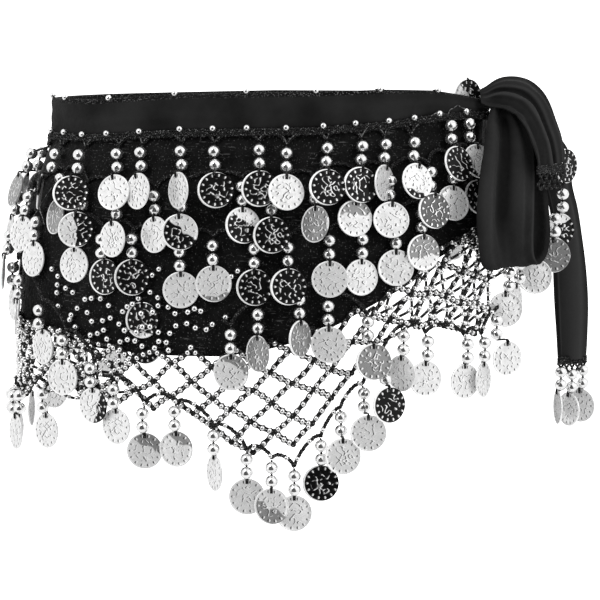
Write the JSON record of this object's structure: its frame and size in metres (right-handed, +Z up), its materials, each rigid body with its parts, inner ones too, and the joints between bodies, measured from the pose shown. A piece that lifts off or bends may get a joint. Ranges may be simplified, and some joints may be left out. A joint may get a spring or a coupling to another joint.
{
  "type": "belly dance hip scarf",
  "caption": "Hip scarf tied at one side, filled out as worn with no wearer: dark cloth under a band, an open net below the hem, and rows of bead strings that end in round coins.",
  "frame": {"origin": "middle of the waist opening, halfway up the waistband, where the wearer's waist holds the scarf", "axes": "+X towards the side where the scarf is tied, -Y towards the front, +Z up through the waist opening"},
  "size_m": [0.3799, 0.2669, 0.2735],
  "materials": {
    "black_crinkle_cloth": "crinkled black polyester with a faint glitter",
    "black_chiffon": "folded matte black chiffon",
    "black_crochet_thread": "matte black crochet thread",
    "silver_plate": "bright silver plating on stamped coins and smooth beads, hung on a black crochet edge"
  },
  "bodies": {
    "root": {"coin_at_knot": "silver_plate", "coin_at_tail": "silver_plate", "knot": "black_chiffon", "net_back": "black_crochet_thread", "net_fringe_back": "silver_plate", "net_fringe_front": "silver_plate", "net_fringe_side": "silver_plate", "net_front": "black_crochet_thread", "panel_back": "black_crinkle_cloth", "panel_front": "black_crinkle_cloth", "row_1_back": "silver_plate", "row_1_front": "silver_plate", "row_2_back": "silver_plate", "row_2_front": "silver_plate", "row_3_back": "silver_plate", "row_3_front": "silver_plate", "row_4_left": "silver_plate", "row_4_middle": "silver_plate", "tail_lower": "black_chiffon", "tail_lower_fringe": "silver_plate", "tail_upper": "black_chiffon", "tail_upper_fringe": "silver_plate", "tie_loop": "black_chiffon", "waistband_back": "black_chiffon", "waistband_front": "black_chiffon"}
  },
  "joints": []
}
